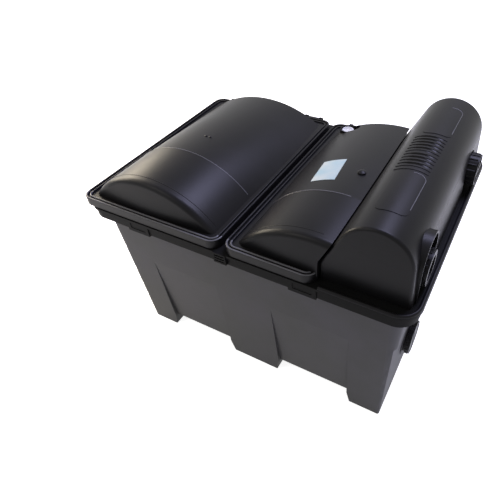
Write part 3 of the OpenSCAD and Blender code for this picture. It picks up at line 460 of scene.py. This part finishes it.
# Wedge wires across the bow screen, points sunk in the plate, in mm and degrees
SCREEN_RADIUS = 395.0
SCREEN_CENTRE = (599.5, 0.0, 384.0)
SCREEN_ABOVE = 2.3
SCREEN_BELOW = 46.4
WIRE_COUNT = 91
WIRE_RADIUS = 1.1
WIRE_LENGTH = 436.0
WIRE_STAND = 0.3
grown("screen_wires", wire_tree(), {
    "Count": WIRE_COUNT,
    "Arc Radius": (SCREEN_RADIUS - WIRE_STAND) * MM,
    "Arc Start": math.radians(180.0 - SCREEN_ABOVE),
    "Arc Sweep": math.radians(SCREEN_ABOVE + SCREEN_BELOW),
    "Arc Centre": [c * MM for c in SCREEN_CENTRE],
    "Wire Radius": WIRE_RADIUS * MM,
    "Wire Length": WIRE_LENGTH * MM,
    "Finish": SCREEN_STEEL,
}, "tank")

BEAD = bead_tree()


def bead(name, radius, facets, finish, body, paths):
    """Round bead along paths, riding on a body."""
    grown(name, BEAD, {"Bead Radius": radius * MM, "Bead Sides": facets, "Finish": finish},
          body, paths, smooth=True)


def quarter(centre, radius, start, steps):
    """Points of a quarter turn about a centre in plan, from an angle in degrees."""
    angles = [math.radians(start + 90 * k / steps) for k in range(steps + 1)]
    return [(centre[0] + radius * math.cos(a), centre[1] + radius * math.sin(a)) for a in angles]


# Rims and vaults of the lids, in mm
FLANGE_TOP = 441.0
BEAD_TOP = FLANGE_TOP + 4.0
LID_FRONT = -284.0
LID_REAR = 235.0
LID_CORNER = 25.0
LEFT_LID = (-394.0, -20.0)
RIGHT_LID = (-8.0, 195.0)
LEFT_VAULT = (-380.0, -34.0)
RIGHT_VAULT = (6.0, 196.0)
VAULT_FOOT = FLANGE_TOP + 3.0
VAULT_STEPS = 96
# Each rim's inset from the lid's edge, and the height of its middle
OUTER_RIM = (2.5, BEAD_TOP - 0.7)
INNER_RIM = (11.0, BEAD_TOP - 1.7)
RIM_RADIUS = 2.2
RIM_STEPS = 8
# Each line's place on Y, and how deep its middle lies in the vault
CREASE_LINE = (-119.0, 0.2)
ARCH_LINE = (-240.0, 0.3)
LINE_RADIUS = 0.9


def rim_paths(sides, inset, height):
    """Paths along a lid's rim: round its front corners, and back along each of its sides."""
    radius = LID_CORNER - inset
    left, right, front = sides[0] + inset, sides[1] - inset, LID_FRONT + inset
    round_front = []
    for centre, start in ((left + radius, 180), (right - radius, 270)):
        plan = quarter((centre, front + radius), radius, start, RIM_STEPS)
        round_front += [Vector((*place, height)) * MM for place in plan]
    backs = []
    for start in (round_front[0], round_front[-1]):
        backs.append([start, Vector((start.x, LID_REAR * MM, start.z))])
    return [round_front], backs


def vault_path(skin, sides, y, sink):
    """Path across a vault at one place on Y, sunk a little in its skin."""
    path = []
    for k in range(VAULT_STEPS + 1):
        x = sides[0] + (sides[1] - sides[0]) * k / VAULT_STEPS
        place, normal = top_of(skin, x * MM, y * MM)
        if place.z > VAULT_FOOT * MM:
            path.append(place - normal * sink * MM)
    return path


def lid_trim(node, sides, vault):
    """Rounded backs on a lid's double rim, and the fine moulded lines across its vault."""
    skin = skin_of(node)
    outer_front, outer_sides = rim_paths(sides, *OUTER_RIM)
    inner_front, inner_sides = rim_paths(sides, *INNER_RIM)
    # The front rims and the crease line take the paler finish: a painted highlight along them
    for name, radius, facets, finish, paths in (
            ("_rim_front", RIM_RADIUS, 12, PAINTED_HIGHLIGHT_ABS, outer_front + inner_front),
            ("_rim_sides", RIM_RADIUS, 12, LID_BLACK, outer_sides + inner_sides),
            ("_crease_line", LINE_RADIUS, 8, PAINTED_HIGHLIGHT_ABS, [vault_path(skin, vault, *CREASE_LINE)]),
            ("_arch_line", LINE_RADIUS, 8, LID_BLACK, [vault_path(skin, vault, *ARCH_LINE)])):
        bead(node + name, radius, facets, finish, node, paths)


lid_trim("lid_left", LEFT_LID, LEFT_VAULT)
lid_trim("lid_right", RIGHT_LID, RIGHT_VAULT)


# Rounded lip on the edge of the rim frame round the hood, in mm
FRAME_TOP = 424.0
FRAME_HALF = (390.0, 286.0)
FRAME_CORNER = 45.0
LIP_RADIUS = 4.5
LIP_INSET = LIP_RADIUS + 0.3
LIP_HEIGHT = FRAME_TOP + 1.0
LIP_START_X = 204.0
LIP_STEPS = 12


def lip_path(inset, height):
    """Path along the frame's edge: front, right side and rear, round its two right corners."""
    half_x, half_y, radius = FRAME_HALF[0] - inset, FRAME_HALF[1] - inset, FRAME_CORNER - inset
    plan = [(LIP_START_X, -half_y)]
    for middle, start in ((radius - half_y, 270), (half_y - radius, 0)):
        plan += quarter((half_x - radius, middle), radius, start, LIP_STEPS)
    plan.append((LIP_START_X, half_y))
    return [Vector((x, y, height)) * MM for x, y in plan]


bead("frame_lip", LIP_RADIUS, 20, LID_BLACK, "tank", [lip_path(LIP_INSET, LIP_HEIGHT)])


# Fillets that close the step in each side wall of the tub, in mm, with a gap round the outlet's boss
STEP_X = 353.6
STEP_Z = 280.0
STEP_END_Y = 241.0
STEP_FILLET = 2.6
BOSS_HALF = 44.0


def level_line(x, y0, y1, z):
    """Level straight path along Y."""
    return [Vector((x, y, z)) * MM for y in (y0, y1)]


bead("step_fillets", STEP_FILLET, 12, TUB_GREY, "tank",
     [level_line(STEP_X, -STEP_END_Y, STEP_END_Y, STEP_Z),
      level_line(-STEP_X, -STEP_END_Y, -BOSS_HALF, STEP_Z),
      level_line(-STEP_X, BOSS_HALF, STEP_END_Y, STEP_Z)])


# Lines at the right edges of the hood's two raised panels, painted paler as a highlight, in mm
PANEL_SIDE = 324.6
PANEL_CORNER = 14.0
PANEL_ENDS = ((-91.0, -180.0), (187.0, 95.0))
PANEL_LINE_RADIUS = 0.7
PANEL_LINE_SINK = 0.2
PANEL_RUN_STEPS = 24
PANEL_CORNER_STEPS = 8
PANEL_TAIL_STEPS = 8
PANEL_TAIL_STEP = 1.5


def panel_path(skin, side, ends, radius, sink):
    """Path along a raised panel of the hood: up its right side and round its inner corner."""
    near, far = ends
    turn = 1 if far < near else -1
    plan = [(side, far + (near - far) * k / PANEL_RUN_STEPS) for k in range(PANEL_RUN_STEPS + 1)]
    for k in range(1, PANEL_CORNER_STEPS + 1):
        angle = math.radians(90 * k / PANEL_CORNER_STEPS)
        plan.append((side - radius + radius * math.cos(angle), near + turn * radius * math.sin(angle)))
    for k in range(1, PANEL_TAIL_STEPS + 1):
        plan.append((side - radius - PANEL_TAIL_STEP * k, near + turn * radius))
    path = []
    for x, y in plan:
        place, normal = top_of(skin, x * MM, y * MM)
        path.append(place - normal * sink * MM)
    return path


hood_skin = skin_of("hood")
bead("hood_panel_lines", PANEL_LINE_RADIUS, 8, PAINTED_HIGHLIGHT_ABS, "hood",
     [panel_path(hood_skin, PANEL_SIDE, ends, PANEL_CORNER, PANEL_LINE_SINK) for ends in PANEL_ENDS])


# Surroundings: white where they are seen or mirrored, and a plain level of light on the object
FLOOR_GLOW = 0.85
WORLD_LEVEL = 0.3
# Lamps: place and aim in metres, size in metres, watts and colour
LAMPS = (
    ("top_softbox", (0.45, 0.9, 2.4), (-0.1, -0.25, 0.5), (1.0, 0.9), 64.0, "#d2d2ff"),
    ("left_softbox", (-1.7, 0.2, 0.95), (-0.3, 0, 0.45), (1.2, 0.7), 36.0, "#fff1d8"),
    ("front_softbox", (-1.0, -1.5, 1.8), (-0.35, -0.25, 0.35), (0.7, 0.7), 8.0, "#fffaf0"),
    ("right_softbox", (1.9, 0.3, 0.3), (0.4, 0, 0.15), (0.8, 0.5), 3.0, "#e6e6ff"),
)


def seen_share(tree):
    """1 for rays that show the surroundings, also mirrored; 0 for those that light the object."""
    path = add(tree, "ShaderNodeLightPath").outputs
    shown = add(tree, "ShaderNodeMath",
                {0: path["Is Camera Ray"], 1: path["Is Glossy Ray"]}, operation="MAXIMUM")
    seen = add(tree, "ShaderNodeMath",
               {0: shown.outputs[0], 1: path["Is Transmission Ray"]}, operation="MAXIMUM")
    return seen.outputs[0]


def pale_floor(glow):
    """Pale paper floor, which glows white where it is seen or mirrored."""
    half = 6.0
    mesh = bmesh.new()
    bmesh.ops.create_grid(mesh, x_segments=2, y_segments=2, size=half)
    data = bpy.data.meshes.new("floor")
    mesh.to_mesh(data)
    mesh.free()
    material, tree = new_material("pale_floor_paper")
    level = add(tree, "ShaderNodeMapRange",
                {"Value": seen_share(tree), "To Min": 0.0, "To Max": glow})
    shader = add(tree, "ShaderNodeBsdfPrincipled",
                 {"Base Color": linear("#f2f2f2"), "Roughness": 0.9, "Specular IOR Level": 0.1,
                  "Emission Color": linear("#ffffff"), "Emission Strength": level.outputs["Result"]})
    add(tree, "ShaderNodeOutputMaterial", {"Surface": shader.outputs["BSDF"]})
    data.materials.append(material)
    floor = bpy.data.objects.new("floor", data)
    bpy.context.scene.collection.objects.link(floor)


def studio_world(strength):
    """Even surroundings: a plain level on the object, pure white where they are seen or mirrored."""
    world = bpy.data.worlds.new("studio")
    bpy.context.scene.world = world
    world.use_nodes = True
    tree = world.node_tree
    tree.nodes.clear()
    level = add(tree, "ShaderNodeMapRange",
                {"Value": seen_share(tree), "To Min": strength, "To Max": 1.0})
    sky = add(tree, "ShaderNodeBackground",
              {"Color": linear("#ffffff"), "Strength": level.outputs["Result"]})
    add(tree, "ShaderNodeOutputWorld", {"Surface": sky.outputs["Background"]})


def softbox(name, place, aim, size, power, colour):
    """Rectangular soft lamp at a place, aimed at a point."""
    lamp = bpy.data.lights.new(name, "AREA")
    lamp.shape = "RECTANGLE"
    lamp.size, lamp.size_y = size
    lamp.energy = power
    lamp.color = linear(colour)[:3]
    holder = bpy.data.objects.new(name, lamp)
    holder.location = place
    holder.rotation_euler = (Vector(aim) - Vector(place)).to_track_quat("-Z", "Y").to_euler()
    bpy.context.scene.collection.objects.link(holder)


def fitted_camera():
    """Camera at the viewpoint fitted to the photograph."""
    data = bpy.data.cameras.new("camera")
    data.sensor_width = SENSOR
    data.lens = CAMERA_FOCAL * SENSOR / IMAGE
    data.shift_x = -CAMERA_CENTRE[0] / IMAGE
    data.shift_y = CAMERA_CENTRE[1] / IMAGE
    data.clip_start = 0.05
    data.clip_end = 50.0
    camera = bpy.data.objects.new("camera", data)
    camera.location = [c * MM for c in CAMERA_AT]
    yaw, pitch, roll = (math.radians(a) for a in (CAMERA_YAW, CAMERA_PITCH, CAMERA_ROLL))
    level = math.cos(pitch)
    ahead = Vector((-math.sin(yaw) * level, math.cos(yaw) * level, -math.sin(pitch)))
    camera.rotation_mode = "QUATERNION"
    camera.rotation_quaternion = ahead.to_track_quat("-Z", "Y") @ Quaternion((0, 0, 1), roll)
    bpy.context.scene.collection.objects.link(camera)
    bpy.context.scene.camera = camera


fitted_camera()
pale_floor(FLOOR_GLOW)
studio_world(WORLD_LEVEL)
for lamp in LAMPS:
    softbox(*lamp)

bpy.context.scene.view_settings.view_transform = "Standard"
